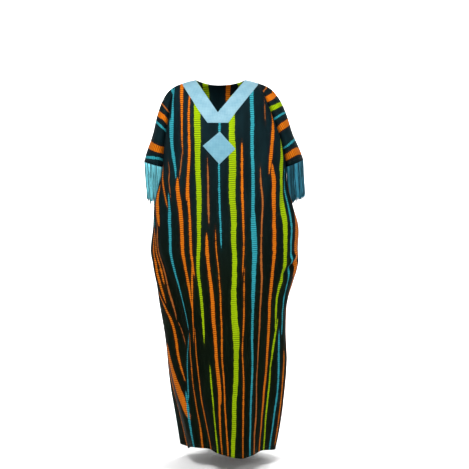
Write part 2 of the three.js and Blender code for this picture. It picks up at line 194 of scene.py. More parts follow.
BACK_CREASES = columns(
    "x0 z0 x1 z1 bow width depth",
    (-215, -345, -120, -520, -12, 18, -6),
    (240, -345, 136, -530, 12, 18, -6),
    (-190, -330, -60, -420, -14, 15, 4.5),
    (214, -330, 84, -425, 14, 15, 4.5),
    (-120, -120, -150, -330, -8, 20, -4),
    (130, -120, 168, -330, 8, 20, -4),
    (10, -90, 4, -330, 5, 22, -3),
    (-256, -640, -150, -860, -10, 15, -6),
    (288, -660, 182, -840, 10, 14, -6),
    (-60, -470, 60, -520, 24, 15, 4),
    (-150, -560, -96, -760, 8, 20, 5),
    (170, -560, 110, -790, -8, 20, 5),
    (18, -640, 30, -1010, 6, 18, -5),
    (-40, -900, -14, -1330, 4, 14, 4),
    (96, -980, 84, -1390, -4, 13, -5))
FOLDS = {"front": FRONT_FOLDS, "back": BACK_FOLDS}
CREASES = {"front": FRONT_CREASES, "back": BACK_CREASES}


def mix(a, b, t):
    return a + (b - a) * t


def read(table, key, column, place):
    """A column's value at each place, along a smooth curve through all the rows."""
    keys, values = table[key], table[column]
    if keys[0] > keys[-1]:
        keys, values = keys[::-1], values[::-1]
    ahead = np.minimum(np.arange(len(keys)) + 1, len(keys) - 1)
    behind = np.maximum(np.arange(len(keys)) - 1, 0)
    tangents = (values[ahead] - values[behind]) / (keys[ahead] - keys[behind])
    place = np.clip(np.asarray(place, float), keys[0], keys[-1])
    i = np.clip(np.searchsorted(keys, place, side="right") - 1, 0, len(keys) - 2)
    span = keys[i + 1] - keys[i]
    t = (place - keys[i]) / span
    rise = values[i + 1] - values[i]
    start, end = tangents[i] * span, tangents[i + 1] * span
    curve = (3 * rise - 2 * start - end) * t**2 + (start + end - 2 * rise) * t**3
    return values[i] + start * t + curve


def section(z, column):
    return read(SECTIONS, "z", column, z)


def sleeve_line(share, column):
    return read(SLEEVE_LINES, "share", column, share)


def shoulder_height(hand, x):
    share = (np.abs(x) - hand["neck"]) / (hand["tip"] - hand["neck"])
    return read(SHOULDER_FALL, "share", "z", np.clip(share, 0, 1))


def fullness(drop):
    """How round the shoulder is this far below its seam, from 0 on it to 1."""
    left = 1 - np.clip(drop / SHOULDER_ROUND, 0, 1)
    return np.sqrt(1 - left * left)


def roundness(across, square):
    return np.maximum(0, 1 - np.clip(across, 0, 1) ** square) ** (1 / square)


def middle_x(z):
    """The X of the middle of a level section."""
    at_underarm = (section(UNDERARM_Z, "left") + section(UNDERARM_Z, "right")) / 2
    low = (section(z, "left") + section(z, "right")) / 2
    chest = mix(NECK_POINT_X, at_underarm, (NECK_POINT_Z - z) / (NECK_POINT_Z - UNDERARM_Z))
    return np.where(z > NECK_POINT_Z, NECK_POINT_X, np.where(z > UNDERARM_Z, chest, low))


def crease_point(hand, share, face):
    """Where a sleeve starts, this share of the way from the shoulder to the underarm."""
    x = hand["side"] * mix(hand["crease"], hand["underarm"], sleeve_line(share, "crease"))
    z = mix(shoulder_height(hand, hand["crease"]), UNDERARM_Z, share)
    return np.stack(np.broadcast_arrays(x, sleeve_line(share, "crease_" + face), z), -1)


def edge_point(hand, share):
    """The sleeve's outer edge, this share of the way from the shoulder's tip to the cuff."""
    x = hand["side"] * mix(hand["tip"], hand["cuff"] + hand["slack"], sleeve_line(share, "edge"))
    z = mix(TIP_Z, hand["cuff_z"], share)
    return np.stack(np.broadcast_arrays(x, sleeve_line(share, "edge_y"), z), -1)


def sleeve_points(hand, share, face, around):
    """Points round the sleeve, from its crease (0) to its outer edge (1)."""
    crease, edge = crease_point(hand, share, face), edge_point(hand, share)
    angle = mix(SLEEVE_START, math.pi, around)
    across = (math.cos(SLEEVE_START) - np.cos(angle)) / (math.cos(SLEEVE_START) + 1)
    points = mix(crease, edge, across[..., None])
    bulge = (np.sin(angle) - math.sin(SLEEVE_START) * (1 - around)) * sleeve_line(share, face)
    points[..., 1] += FACING[face] * bulge
    if share == 0:
        points[..., 2] = shoulder_height(hand, points[..., 0])
    return points

SEAM_HOLD = 12     # the higher, the nearer to the side seams the folds and the hem's rise reach


def fold_depth(folds, place, z):
    """How far the skirt's folds push the cloth out."""
    depth = np.zeros_like(place)
    for at, lean, top, deep, width in zip(*folds.values()):
        down = np.clip((top - z) / (top - HEM_Z), 0, 1)
        away = (place - at - lean * down) / width
        depth += deep * down**0.7 * np.exp(-away * away)
    return depth * (1 - np.abs(place) ** SEAM_HOLD)


def hem_lift(x, z, turn):
    """How far the front rides up near its hem, none of it at the side seams."""
    down = np.clip((LIFT_TOP - z) / (LIFT_TOP - HEM_Z), 0, 1)
    return read(HEM_LIFT, "x", "lift", x) * down * down * (1 - turn**SEAM_HOLD)


def skirt_x(name, z, turn):
    """The X of a level section without its folds, from its middle (0) to its side seam (1)."""
    across = np.sin(turn * math.pi / 2) ** (2 / section(z, "square"))
    return mix(middle_x(z), section(z, name), across)


def skirt_points(name, hand, face, z, turn):
    """A row of the skirt, from the middle of the front or back (0) to the side seam (1)."""
    middle, seam = middle_x(z), section(z, "seam")
    deep = np.maximum(0, np.cos(turn * math.pi / 2)) ** (2 / section(z, "square"))
    x, y = skirt_x(name, z, turn), mix(seam, section(z, face), deep)
    out = fold_depth(FOLDS[face], hand["side"] * turn, z) * (turn < 1)
    reach = np.hypot(x - middle, y - seam)
    up = hem_lift(x, z, turn) if face == "front" else 0
    z = z + up * np.ones_like(x)
    return np.stack([x + (x - middle) / reach * out, y + (y - seam) / reach * out, z], -1)


def chest_points(hand, face, share, along):
    """Points of the body above the underarm, along a row from its start (0) to the crease (1)."""
    crease = crease_point(hand, share, face)
    if face == "front":
        start_z = UNDERARM_Z * share
        open_x = mix(hand["side"] * hand["neck"], NECK_POINT_X, start_z / NECK_POINT_Z)
        start_x = open_x if start_z > NECK_POINT_Z else middle_x(start_z)
    else:
        start_z = mix(-BACK_NECK_DROP, UNDERARM_Z, share)
        start_x = middle_x(start_z)
    middle, square = middle_x(start_z), section(start_z, "square")
    first = abs(start_x - middle) / abs(crease[0] - middle)
    across = np.sin(mix(math.asin(first ** (square / 2)), math.pi / 2, along)) ** (2 / square)
    x = mix(middle, crease[0], across)
    z = mix(start_z, crease[2], np.abs(x - start_x) / abs(crease[0] - start_x))
    if share == 0:
        return top_points(hand, face, x)
    here = middle_x(z)
    full = fullness(shoulder_height(hand, x) - z)
    bulge = roundness(np.abs(x - here) / np.abs(crease[0] - here), section(z, "square"))
    return np.stack([x, mix(crease[1], section(z, face), full * bulge), z], -1)


def top_points(hand, face, x):
    """The top row of a panel's body: the shoulder seam and, at the back, the neck's edge."""
    z, y = shoulder_height(hand, x), np.full_like(x, SHOULDER_Y)
    if face == "back":
        share = np.abs(x) / hand["neck"]
        neck_z = -BACK_NECK_DROP * (1 - np.minimum(share, 1) ** 2)
        z = np.where(share < 1, neck_z, z)
        y = np.where(share < 1, mix(SHOULDER_Y, section(z, "back"), fullness(-z)), y)
    return np.stack([x, y, z], -1)


# ---- The print, in millimetres of the flat cut: u across from the middle, v down from the shoulder

# Stripes: colour (0 lime, 1 orange, 2 turquoise, 3 tan), place, width where it starts and where it
# ends, how far it leans by the hem, and the heights in the cut where it starts and ends
FRONT_STRIPES = columns(
    "colour at width foot lean start end",
    (1, -296, 8, 8, 14, 520, 860),
    (3, -266, 5, 5, 8, 480, 930),
    (1, -324, 21, 24, 190, 370, 565),
    (1, -277, 4, 6, 6, 540, 800),
    (1, -376, 12, 13, 490, 290, 500),
    (2, -212, 13, 5, 40, 395, 960),
    (2, -184, 15, 9, 0, 30, 300),
    (2, -184, 20, 16, 0, -200, 105),
    (1, -184, 18, 8, 88, 340, 870),
    (1, -147, 16, 3, 50, -200, 310),
    (1, -134, 8, 7, 53, 325, 760),
    (0, -76, 32, 5, -22, -200, 1000),
    (0, -86, 5, 9, 16, 1020, 1600),
    (3, -46, 3, 9, 6, 255, 560),
    (1, -67, 11, 16, 34, 540, 1220),
    (1, -21, 4, 8, 9, 515, 1600),
    (2, -1, 8, 5, 0, -20, 650),
    (0, 40, 22, 21, 14, -200, 1070),
    (1, 82, 9, 4, -6, 205, 760),
    (1, 83, 4, 7, -4, 660, 1600),
    (2, 121, 14, 8, 0, -200, 1600),
    (3, 152, 6, 7, 0, 290, 1600),
    (3, 176, 4, 3, 0, 40, 190),
    (1, 203, 16, 8, -4, 290, 1600),
    (0, 247, 22, 9, -4, 330, 960),
    (2, 281, 8, 7, -8, 300, 980),
    (1, 330, 14, 12, -6, 340, 1600),
    (1, -528, 9, 9, 383, 760, 1150),
    (3, -707, 4, 4, 702, 860, 1020),
    (1, -604, 28, 34, 421, 970, 1290),
    (2, -88, 4, 6, -154, 900, 1240),
    (2, -227, 8, 9, 0, 1130, 1600),
    (1, -178, 4, 9, 0, 900, 1600),
    (1, -23, 7, 6, -179, 620, 1000),
    (1, -136, 5, 8, 4, 880, 1600),
    (1, -43, 8, 6, 0, 1090, 1600),
    (2, -217, 20, 13, 190, 120, 388),
    (3, -97, 4, 5, -218, 230, 400),
    (3, -246, 4, 4, 179, 270, 480),
    (0, 119, 21, 22, -97, 880, 1600),
    (2, 119, 21, 12, 0, 440, 900),
    (1, 239, 14, 14, -222, 90, 370),
    (0, 293, 23, 22, -193, 200, 420),
    (0, 390, 9, 7, -218, 860, 1110),
    (0, 222, 7, 8, 3, 1020, 1600),
    (2, 262, 7, 8, 0, 900, 1600),
    (1, 313, 22, 15, 0, 470, 760),
    (1, 290, 6, 6, 0, 980, 1420),
    (1, -108, 9, 8, -47, -100, 475),
    (2, -395, 9, 8, 285, 480, 580))
BACK_STRIPES = columns(
    "colour at width foot lean start end",
    (1, -336, 16, 14, 0, 320, 1600),
    (2, -300, 8, 9, 4, 280, 1600),
    (0, -258, 18, 8, 0, 200, 1180),
    (1, -212, 16, 12, 8, -200, 1600),
    (3, -180, 5, 7, -8, 240, 1600),
    (2, -146, 20, 14, 8, -200, 1600),
    (3, -104, 5, 9, 4, 460, 1600),
    (1, -106, 11, 5, 0, -200, 420),
    (0, -60, 24, 22, 8, -200, 1600),
    (2, -22, 8, 6, 0, 160, 980),
    (3, -2, 5, 8, 10, 620, 1600),
    (1, 34, 16, 13, -8, -200, 1600),
    (0, 78, 24, 8, -4, -200, 1240),
    (3, 108, 5, 7, 4, 300, 1600),
    (1, 142, 17, 12, -8, -200, 1600),
    (2, 176, 16, 10, 0, 120, 1600),
    (3, 204, 5, 6, 6, 420, 1600),
    (1, 236, 13, 10, 0, 60, 1600),
    (0, 274, 14, 12, -6, 380, 1600),
    (2, 306, 9, 9, 0, 260, 1600),
    (1, 340, 18, 14, 0, 330, 1600))

# Rings round the sleeves: colour, place and width
RINGS = columns(
    "colour at width",
    (2, -459, 8), (1, -420, 24), (2, -345, 8), (1, -314, 20), (3, -281, 5), (2, -207, 15),
    (3, 182, 6), (1, 217, 20), (0, 258, 18), (2, 295, 8), (1, 336, 25), (2, 407, 7), (1, 449, 25))
STRIPES = {"front": FRONT_STRIPES, "back": BACK_STRIPES}


# ---- Settings that a user would change


def length_property(name, description, default):
    return bpy.props.FloatProperty(
        name=name, description=description, default=default, unit="LENGTH", subtype="DISTANCE")


def colour_property(name, description, default):
    return bpy.props.FloatVectorProperty(
        name=name, description=description, default=default, size=3, min=0, max=1, subtype="COLOR")


class KaftanCloth(bpy.types.PropertyGroup):
    wall: length_property("Cloth", "Thickness of the striped cloth", 0.0012)
    trim: length_property("Trim", "Thickness of the band and the patch", 0.0014)
    # The ground's two colours carry painted light over the cloth's own near-black: the upper one
    # holds a painted bluish sheen, and the lower one painted shade where the light falls off toward
    # the hem
    ground: colour_property(
        "Ground", "Colour between the stripes above", (0.0014, 0.0066, 0.0086))
    ground_low_painted_shade: colour_property(
        "Low ground", "Colour between the stripes near the hem", (0.0010, 0.0032, 0.0010))
    lime: colour_property("Lime", "Colour of the widest stripes", (0.25, 0.385, 0.001))
    orange: colour_property("Orange", "Colour of the warm stripes", (0.53, 0.128, 0.004))
    turquoise: colour_property("Turquoise", "Colour of the cool stripes", (0.024, 0.255, 0.31))
    tan: colour_property("Tan", "Colour of the thinnest stripes", (0.29, 0.085, 0.016))
    trim_colour: colour_property("Trim colour", "Colour of the band", (0.20, 0.35, 0.415))
    patch_colour: colour_property("Patch colour", "Colour of the patch", (0.135, 0.30, 0.37))
    thread: length_property("Thread", "Thickness of the sewing thread", 0.0006)
    thread_colour: colour_property(
        "Thread colour", "Colour of the thread on the trim", (0.33, 0.46, 0.52))
    dark_thread: colour_property(
        "Dark thread", "Colour of the thread in the hems", (0.012, 0.020, 0.022))


class KaftanFringe(bpy.types.PropertyGroup):
    length: length_property("Fringe", "Length of the strands", 0.130)
    strand: length_property("Strand", "Thickness of one strand", 0.0019)
    spacing: length_property("Spacing", "Distance between strands along the cuff", 0.0021)
    # The right strands are darker than the left ones partly by their own dye and partly by painted
    # shade, as that fringe hangs in shadow
    left: colour_property("Left strands", "Colour of the lighter fringe", (0.095, 0.37, 0.43))
    right: colour_property("Right strands", "Colour of the deeper fringe", (0.002, 0.105, 0.16))


class KaftanStage(bpy.types.PropertyGroup):
    floor_drop: length_property("Floor", "Distance from the hem down to the floor", 0.05)
    key: bpy.props.FloatProperty(
        name="Key", description="Power of the main light in watts", default=70)
    fill: bpy.props.FloatProperty(
        name="Fill", description="Strength of the even light", default=0.17)


# ---- Meshes


class Grid:
    """Cloth as rows of points with a place in the flat cut at each corner of each face."""

    def __init__(self):
        self.points, self.known, self.faces, self.uvs = [], {}, [], []

    def point(self, position):
        key = tuple(np.round(position, 2))
        if key not in self.known:
            self.known[key] = len(self.points)
            self.points.append(tuple(position * MM))
        return self.known[key]

    def add(self, rows, flat, flip):
        """Faces between rows of points, with their places in the cut."""
        ids = [[self.point(position) for position in row] for row in rows]
        for i in range(len(rows) - 1):
            for j in range(len(rows[i]) - 1):
                corners = [(i, j), (i + 1, j), (i + 1, j + 1), (i, j + 1)]
                if flip:
                    corners.reverse()
                face = [ids[a][b] for a, b in corners]
                if len(set(face)) == 4:
                    self.faces.append(face)
                    self.uvs.extend(tuple(flat[a][b] * MM) for a, b in corners)

    def make(self, name):
        piece = smooth_piece(name, self.points, self.faces)
        layer = piece.data.uv_layers.new(name="cut")
        layer.data.foreach_set("uv", np.array(self.uvs, np.float32).ravel())
        return piece


def smooth_piece(name, points, faces):
    """A smooth piece in the scene, from points in metres."""
    mesh = bpy.data.meshes.new(name)
    mesh.from_pydata(points, [], faces)
    mesh.polygons.foreach_set("use_smooth", [True] * len(mesh.polygons))
    mesh.update()
    return link(bpy.data.objects.new(name, mesh))


def link(piece):
    bpy.context.scene.collection.objects.link(piece)
    return piece


def finish_piece(piece, slot, *nodes):
    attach(piece, "root")
    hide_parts(*nodes)


def select_only(piece):
    bpy.ops.object.select_all(action="DESELECT")
    piece.select_set(True)
    bpy.context.view_layer.objects.active = piece


def apply_modifiers(piece):
    select_only(piece)
    for modifier in list(piece.modifiers):
        bpy.ops.object.modifier_apply(modifier=modifier.name)


def thicken(piece, thickness, offset=-1.0):
    solid = piece.modifiers.new("wall", "SOLIDIFY")
    solid.thickness = thickness
    solid.offset = offset
    solid.use_even_offset = False
    apply_modifiers(piece)


# Below the left hip the cloth is drawn across: how far its stripes shift, at what height below the
# neck, over what reach, how far left of the middle that begins, and over what width it sets in
DRAG = {"shift": 38, "at": 890, "reach": 125, "from": 125, "over": 60}
PRINT_MIDDLE = columns("below_neck x", (0, -1), (190, -1), (640, 7), (1405, 26))
SLEEVE_V = -1000.0           # the sleeves' places lie apart from the body's in the cut
SLEEVE_TILT = (0.27, 0.42)   # how far its rings tilt across it, at the shoulder and at the cuff
NECK_STEPS, CHEST_STEPS, SKIRT_STEPS = 26, 34, 170
NECK_CROWDING = 1.5          # how the rows near the shoulder crowd together
BODY_STEPS, SLEEVE_STEPS = 74, 26


def row_length(points):
    """The length along a row up to each of its points."""
    steps = np.linalg.norm(np.diff(points, axis=0), axis=1)
    return np.concatenate([[0], np.cumsum(steps)])


def print_middle(z):
    """The X where the print's middle lies, which follows the skirt to the hem."""
    return np.interp(-z, PRINT_MIDDLE["below_neck"], PRINT_MIDDLE["x"])


def body_cut(hand, points, z):
    """Places in the flat cut for a row of the body: the length along it from the print's middle."""
    length = row_length(points)
    start = points[0, 0] - print_middle(z)
    u = start + hand["side"] * length
    return np.stack([u, np.broadcast_to(-points[:, 2], u.shape)], -1)


def sleeve_cut(hand, share, points):
    """Places in the flat cut for a row of the sleeve, whose stripes ring the arm."""
    length = row_length(points[::-1])[::-1]
    across = (points[:, 0] - points[0, 0]) / (points[-1, 0] - points[0, 0])
    tilt = mix(*SLEEVE_TILT, share) * across
    u = hand["side"] * mix(hand["top_u"], hand["cuff_u"], (share + tilt) / (1 + tilt))
    return np.stack([u, length + SLEEVE_V], -1)


def skirt_cut(x, z, hip):
    """Places in the flat cut for a row of the skirt: the hip's, drawn in evenly to the hem."""
    down = (HIP_Z - z) / (HIP_Z - HEM_Z)
    middle = mix(middle_x(HIP_Z), middle_x(HEM_Z), down)
    here, even = [], []
    for name in HANDS:
        hip_half, hem_half = (section(level, name) - middle_x(level) for level in (HIP_Z, HEM_Z))
        here.append(abs(section(z, name) - middle))
        even.append(abs(mix(hip_half, hem_half, down)))
    left = x < middle
    here, even = (np.where(left, *pair) for pair in (here, even))
    share = np.abs(x - middle) / here
    across = np.clip(share * mix(here / even, 1, share**3), 0, 1)
    turn = np.arcsin(across ** (section(HIP_Z, "square") / 2)) * 2 / math.pi
    u = np.interp(np.where(left, -turn, turn), *hip)
    drag = DRAG["shift"] * np.exp(-(((-z - DRAG["at"]) / DRAG["reach"]) ** 2))
    u -= drag * np.clip((-u - DRAG["from"]) / DRAG["over"], 0, 1)
    return np.stack([u, np.full_like(u, -z)], -1)


def hip_places(face, along):
    """Places across the cut at the hip, from the left side seam (-1) to the right one (1)."""
    turns, places = [], []
    for name, hand in HANDS.items():
        row = skirt_points(name, hand, face, np.float64(HIP_Z), along)
        turns.append(hand["side"] * along)
        places.append(body_cut(hand, row, HIP_Z)[:, 0])
    return [np.concatenate([pair[0][::-1], pair[1]]) for pair in (turns, places)]


def panel_grid(face):
    """One panel: its chest, its two sleeves and its skirt."""
    grid = Grid()
    neck_share = NECK_POINT_Z / UNDERARM_Z
    shares = np.concatenate([
        neck_share * np.linspace(0, 1, NECK_STEPS, endpoint=False) ** NECK_CROWDING,
        np.linspace(neck_share, 1, CHEST_STEPS + 1)])
    along = np.linspace(0, 1, BODY_STEPS + 1)
    around = np.linspace(0, 1, SLEEVE_STEPS + 1)
    heights = np.linspace(UNDERARM_Z, HEM_Z, SKIRT_STEPS + 1)
    hip = hip_places(face, along)
    for name, hand in HANDS.items():
        flip = hand["side"] == FACING[face]
        chest = [chest_points(hand, face, share, along) for share in shares]
        sleeve = [sleeve_points(hand, share, face, around) for share in shares]
        grid.add(chest, [body_cut(hand, row, row[0, 2]) for row in chest], flip)
        grid.add(sleeve, [sleeve_cut(hand, share, row) for share, row in zip(shares, sleeve)], flip)
        skirt = [chest[-1]]
        skirt += [skirt_points(name, hand, face, z, along) for z in heights[1:]]
        flat = [body_cut(hand, row, z) if z > HIP_Z else skirt_cut(skirt_x(name, z, along), z, hip)
                for z, row in zip(heights, skirt)]
        grid.add(skirt, flat, flip)
    return grid


CREASE_DEPTH = 1.5           # how much deeper the worn creases are than the table's depths
CREASE_FLARE = (0.7, 1.4)    # a crease's width at its start and its end, as shares of the table's
CREASE_ENDS = 0.8            # the lower, the sooner a crease deepens from its ends
SEAM_FADE = (-0.05, 0.30)    # how far the cloth faces forward where creases start, and are full
WAVES = (dict(out=2.8, across=95, down=240, seed=1), dict(out=1.0, across=30, down=85, seed=-1))
WAVE_SEED = {"front": 7.0, "back": 31.0}


def crease_cloth(piece, face):
    """Pushes the creases into a panel along its own normals, with a small unevenness all over."""
    mesh = piece.data
    count = len(mesh.vertices)
    points, normals = np.empty(count * 3), np.empty(count * 3)
    mesh.vertices.foreach_get("co", points)
    mesh.vertex_normals.foreach_get("vector", normals)
    points, normals = points.reshape(-1, 3) / MM, normals.reshape(-1, 3)
    x, z = points[:, 0], points[:, 2]
    out = np.zeros(count)
    for x0, z0, x1, z1, bow, width, depth in zip(*CREASES[face].values()):
        way = np.array([x1 - x0, z1 - z0])
        length = np.hypot(*way)
        way /= length
        along = np.clip(((x - x0) * way[0] + (z - z0) * way[1]) / length, 0, 1)
        away = (x - x0) * way[1] - (z - z0) * way[0] + bow * 4 * along * (1 - along)
        fade = np.sin(math.pi * along) ** CREASE_ENDS
        spread = width * mix(*CREASE_FLARE, along)
        out += CREASE_DEPTH * depth * fade * np.exp(-((away / spread) ** 2))
    for wave in WAVES:
        across, down, seed = wave["across"], wave["down"], wave["seed"] * WAVE_SEED[face]
        out += wave["out"] * np.array([
            noise.noise(Vector((px / across, py / across, pz / down + seed)))
            for px, py, pz in points])
    facing = FACING[face] * normals[:, 1]
    seam = np.clip((facing - SEAM_FADE[0]) / (SEAM_FADE[1] - SEAM_FADE[0]), 0, 1)
    points += normals * (out * seam)[:, None]
    mesh.vertices.foreach_set("co", (points * MM).ravel())
    mesh.update()


# ---- Operators, one for each piece or group of like pieces


class KAFTAN_OT_panels(bpy.types.Operator):
    """Makes the front and the back, each with its half of both sleeves"""

    bl_idname = "kaftan.panels"
    bl_label = "Front and back"

    def execute(self, context):
        cloth = context.scene.kaftan_cloth
        for face in FACING:
            piece = panel_grid(face).make(face + "_cloth")
            crease_cloth(piece, face)
            thicken(piece, cloth.wall)
            piece.data.materials.append(print_material(face, cloth))
            finish_piece(piece, "striped_cloth", face + "_panel")
        return {"FINISHED"}


CAST_FROM = 1000.0                       # from the middle to where a level ray starts
LIFT = 0.5                               # from the panel to the underside of what is sewn on it
BAND_WIDTH = 50.0
BAND_ELBOW = 67.0                        # half the front band's width level with the neck's point
BAND_FOOT = {"out": 38, "drop": 40}      # half its foot's width, and how far below the point it is
BAND_SEAM_Z = -19.0
BAND_BACK_CURVE = 2.4
BAND_CORNERS = (0, 0.05, 0.74, 0.9, 1)   # shares of a leg's length where its outer edge turns
BAND_STEPS = {"front": (44, 15), "back": (72, 13)}     # places along and across a band
EDGE_INSET = 1.5                         # from the neck's edge to the band
SEAM_DROP = 0.8                          # below the shoulder seam a level ray meets the panel
SEAM_CLEAR = 0.3                         # from the shoulder seam to a band's end
SEAM_ROWS = 6                            # rows of a band over the top of the shoulder
SEAM_ABOVE = 100.0                       # from the panel up to where their rays start
TURNED_EDGE = {"share": 0.3, "segments": 2, "angle": 55}    # share of the trim's thickness


def surface_of(pieces):
    """The outside of some pieces, to lay other pieces on."""
    points, faces = [], []
    for piece in pieces:
        start = len(points)
        points.extend(vertex.co[:] for vertex in piece.data.vertices)
        faces.extend([start + i for i in face.vertices] for face in piece.data.polygons)
    return BVHTree.FromPolygons(points, faces)


def cast(surface, start, way, lift):
    """The first place on a surface that lies this way from a start, moved out by the lift."""
    way = Vector(way)
    place, normal, _, _ = surface.ray_cast(Vector(start) * MM, way)
    if place is None:
        raise RuntimeError(f"nothing lies along {way[:]} from {start}")
    if normal.dot(way) > 0:
        normal = -normal
    return np.array(place + normal * (lift * MM)) / MM


def lay(surface, face, x, z, lift):
    """The place on a panel in front of X and Z, moved out by the lift."""
    return cast(surface, (x, FACING[face] * CAST_FROM, z), (0, -FACING[face], 0), lift)


def laid_rows(surface, face, outline):
    """Rows of points on a panel from rows of places in X and Z."""
    return [[lay(surface, face, x, z, LIFT) for x, z in row] for row in outline]


def seam_rows(surface, face, row):
    """Rows of a band from the shoulder seam to this row, where the panel lies nearly level."""
    seam = SHOULDER_Y + FACING[face] * SEAM_CLEAR
    return [[cast(surface, (x, mix(seam, y, share), z + SEAM_ABOVE), (0, 0, -1), LIFT)
             for x, y, z in row] for share in np.arange(SEAM_ROWS) / SEAM_ROWS]


def mixed_row(near, far, count):
    """Places evenly spaced from one to another."""
    return [mix(near, far, across) for across in np.linspace(0, 1, count)]


def band_front_outline(hand):
    """One leg of the front band: along it from the shoulder, across it from the neck's edge."""
    side, neck = hand["side"], hand["neck"]
    edge = side * (neck + BAND_WIDTH)
    foot_z = NECK_POINT_Z - BAND_FOOT["drop"]
    outer = np.array([
        (edge, shoulder_height(hand, np.float64(edge)) - SEAM_DROP), (edge, BAND_SEAM_Z),
        (NECK_POINT_X + side * BAND_ELBOW, NECK_POINT_Z),
        (NECK_POINT_X + side * BAND_FOOT["out"], foot_z), (NECK_POINT_X, foot_z)])
    inner = np.array([
        (side * (neck + EDGE_INSET), -SEAM_DROP), (NECK_POINT_X, NECK_POINT_Z - EDGE_INSET)])
    steps, across = BAND_STEPS["front"]
    rows = []
    for along in np.unique(np.concatenate([np.linspace(0, 1, steps), BAND_CORNERS])):
        far = np.array([np.interp(along, BAND_CORNERS, outer[:, i]) for i in (0, 1)])
        rows.append(mixed_row(mix(*inner, along), far, across))
    return rows


def band_back_outline():
    """The band round the back of the neck, from one shoulder to the other."""
    steps, across = BAND_STEPS["back"]
    rows = []
    for share in np.linspace(-1, 1, steps):
        neck = HANDS["right"]["neck"] if share > 0 else HANDS["left"]["neck"]
        drop = -BACK_NECK_DROP * (1 - share * share) - EDGE_INSET
        fall = BAND_WIDTH * (abs(share) ** BAND_BACK_CURVE - 1)
        near = np.array([share * (neck + 1), drop])
        far = np.array([share * (neck + BAND_WIDTH), -BACK_NECK_DROP + fall])
        rows.append(mixed_row(near, far, across))
    return rows


# The patch's middle, and its corners from there
PATCH = {"centre": (-1, -252),
         "top": (2, 59), "right": (59, -4), "bottom": (1, -60), "left": (-60, 7)}
PATCH_STEPS = 24


def patch_outline():
    """Rows of places across the patch."""
    top, right, left, bottom = (
        np.add(PATCH["centre"], PATCH[name]) for name in ("top", "right", "left", "bottom"))
    steps = np.linspace(0, 1, PATCH_STEPS + 1)
    return [[mix(mix(top, right, b), mix(left, bottom, b), a) for b in steps] for a in steps]


def trim_cut(rows):
    """Places in the flat cut of a trim, which lies straight along its own length."""
    rows = np.array(rows)
    along = row_length(rows[:, 0] + rows[:, -1]) / 2
    return [[(along[i], across) for across in row_length(row)] for i, row in enumerate(rows)]


def make_trim(name, surface, face, outlines, thickness, material):
    """A trim from outlines, each with its side and how many of its ends meet a shoulder seam."""
    grid = Grid()
    for flip, seams, outline in outlines:
        rows = laid_rows(surface, face, outline)
        if seams > 0:
            rows = seam_rows(surface, face, rows[0]) + rows
        if seams > 1:
            rows = rows + seam_rows(surface, face, rows[-1])[::-1]
        grid.add([np.array(row) for row in rows], np.array(trim_cut(rows)), flip)
    piece = grid.make(name)
    thicken(piece, thickness, 1.0)
    bevel = piece.modifiers.new("turned edge", "BEVEL")
    bevel.width = thickness * TURNED_EDGE["share"]
    bevel.segments = TURNED_EDGE["segments"]
    bevel.limit_method = "ANGLE"
    bevel.angle_limit = math.radians(TURNED_EDGE["angle"])
    apply_modifiers(piece)
    piece.data.materials.append(material)
    return piece


class KAFTAN_OT_trim(bpy.types.Operator):
    """Makes the neck band's two halves and the patch, laid on the panels"""

    bl_idname = "kaftan.trim"
    bl_label = "Band and patch"

    def execute(self, context):
        cloth = context.scene.kaftan_cloth
        pale = damask_material("pale_damask", cloth.trim_colour)
        deeper = damask_material("deeper_damask", cloth.patch_colour)
        front, back = (surface_of([bpy.data.objects[face + "_cloth"]]) for face in FACING)
        legs = [(hand["side"] > 0, 1, band_front_outline(hand)) for hand in HANDS.values()]
        collar = [(False, 2, band_back_outline())]
        square = [(True, 0, patch_outline())]
        for name, surface, face, outlines, material, node in (
                ("band_front", front, "front", legs, pale, "neck_band_front"),
                ("band_back", back, "back", collar, pale, "neck_band_back"),
                ("patch_square", front, "front", square, deeper, "patch")):
            piece = make_trim(name, surface, face, outlines, cloth.trim, material)
            finish_piece(piece, "pale_cloth", node)
        return {"FINISHED"}


# ---- The fringe

FRINGE_DROP = 0.7       # from the cuff down to the fringe
FRINGE_CLEAR = 1.4      # from the body's side to the middle of a strand
CUFF_STEPS = 200        # places round a cuff when it is measured
STRAND_STEPS = 10
STRAND_SIDES = 4
LAYERS = 3
LAYER_INSET = (-1.0, -1.2, 0.6)    # outward: the first layer, each further one, and by the feet
TUFT_CHANCE = 0.26                 # how likely it is that a strand starts a new tuft
LONGER = 1.02                      # the middle length of the strands, as a share of the setting
TUFT_CLOSING = 1.3                 # the higher, the nearer to its feet a tuft closes
LOOSE_FROM = 4                     # a strand is free of the cuff from one over this of its length
# How much of a strand's unevenness is its own, and how much its tuft shares
UNEVEN = {"length": (1, 0.8), "sway": (0.4, 1), "tone": (0.3, 0.7)}
CURL = {"x": 9.0, "y": 7.0, "reach": 0.9}    # the turns of a strand's wave along it, and its reach
# How the two fringes hang: the spread of the strands' feet and of their lengths, and how far they
# gather into tufts
HANGING = {
    "left": dict(sway=3.6, uneven=0.05, tuft=0.8, seed=5),
    "right": dict(sway=1.2, uneven=0.035, tuft=0.35, seed=11),
}


def body_side(name, y, z):
    """The X of the body's side at a depth and height, or 0 where the body isn't beside it."""
    seam = section(z, "seam")
    depth = np.where(y < seam, section(z, "front"), section(z, "back"))
    share = (y - seam) / (depth - seam)
    x = mix(middle_x(z), section(z, name), roundness(share, section(z, "square")))
    return np.where(share >= 1, 0, x)


def fringe_points(hand, loop, down, length):
    """Points of a fringe: loop is a ring of points at the cuff, down the share of the length."""
    cuff = hand["cuff"] + hand["slack"]
    across = (np.abs(loop[:, 0]) - hand["underarm"]) / (cuff - hand["underarm"])
    points = loop.copy()
    points[:, 0] += hand["side"] * mix(hand["fringe_in"], hand["fringe_out"], across) * down
    points[:, 2] -= FRINGE_DROP + length * down
    return points


